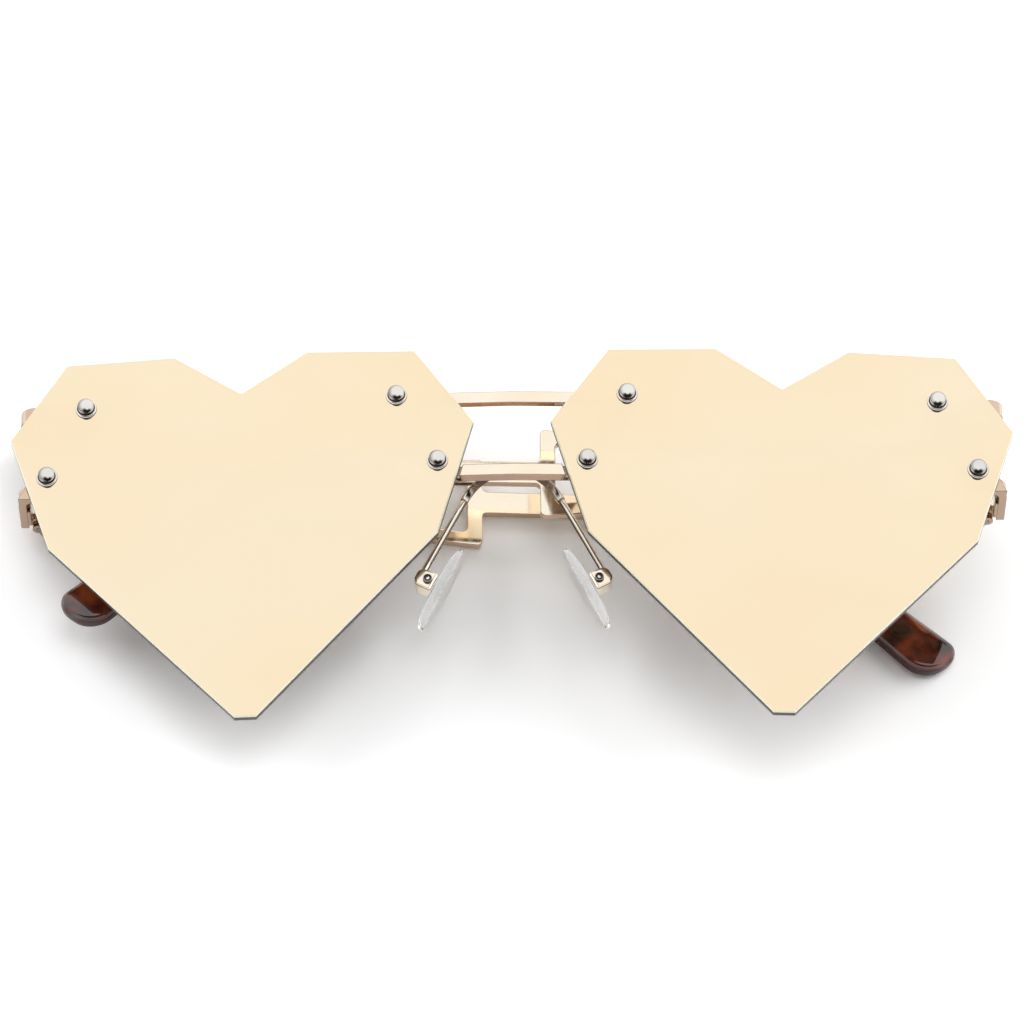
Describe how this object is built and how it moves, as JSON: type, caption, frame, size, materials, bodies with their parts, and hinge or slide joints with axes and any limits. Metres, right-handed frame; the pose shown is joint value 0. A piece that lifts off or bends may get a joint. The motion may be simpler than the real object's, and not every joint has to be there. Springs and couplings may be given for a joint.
{
  "type": "sunglasses",
  "caption": "Rimless sunglasses with cut heart lenses, double metal bridge, forked folding temples with dark tips, and rocking nose pads, stored folded.",
  "frame": {"origin": "middle of the part's box, on the table it lies on", "axes": "+X to the wearer's left, +Y up the front towards the brow, +Z out of the table; the glasses lie face up on their folded right temple"},
  "size_m": [0.1502, 0.0612, 0.0289],
  "materials": {
    "lens": "mirror coated",
    "frame_metal": "polished gold",
    "silver_fixing": "polished",
    "clear_bush": "clear",
    "tip": "polished tortoise",
    "pad": "clear soft"
  },
  "bodies": {
    "temple_right": {"temple_arm_right": "frame_metal", "temple_knuckles_right": "frame_metal", "temple_tip_right": "tip"},
    "front": {"bridge": "frame_metal", "endpiece_knuckles_left": "frame_metal", "endpiece_knuckles_right": "frame_metal", "endpiece_left": "frame_metal", "endpiece_right": "frame_metal", "hinge_screws_left": "silver_fixing", "hinge_screws_right": "silver_fixing", "lens_bushes": "clear_bush", "lens_cap_screws": "silver_fixing", "lens_left": "lens", "lens_nuts": "silver_fixing", "lens_right": "lens", "lens_washers": "silver_fixing", "pad_arm_left": "frame_metal", "pad_arm_right": "frame_metal", "pad_box_left": "frame_metal", "pad_box_right": "frame_metal", "pad_screw_left": "silver_fixing", "pad_screw_right": "silver_fixing"},
    "temple_left": {"temple_arm_left": "frame_metal", "temple_knuckles_left": "frame_metal", "temple_tip_left": "tip"},
    "pad_left": {"nose_pad_left": "pad", "pad_insert_left": "pad"},
    "pad_right": {"nose_pad_right": "pad", "pad_insert_right": "pad"}
  },
  "joints": [
    {"name": "right_temple_hinge", "type": "hinge", "parent": "temple_right", "child": "front", "pos_m": [-0.07007, 0.01501, 0.0028], "axis": [0, -1, 0], "range_deg": [0, 85]},
    {"name": "left_temple_hinge", "type": "hinge", "parent": "front", "child": "temple_left", "pos_m": [0.07206, 0.01501, 0.01674], "axis": [0, -1, 0], "range_deg": [-1, 2.5]},
    {"name": "left_pad_rock", "type": "hinge", "parent": "front", "child": "pad_left", "pos_m": [0.01307, -0.00629, 0.01779], "axis": [0.0976, 0, -0.9952], "range_deg": [-8, 8]},
    {"name": "right_pad_rock", "type": "hinge", "parent": "front", "child": "pad_right", "pos_m": [-0.01241, -0.00629, 0.01529], "axis": [0.0976, 0, -0.9952], "range_deg": [-8, 8]}
  ]
}
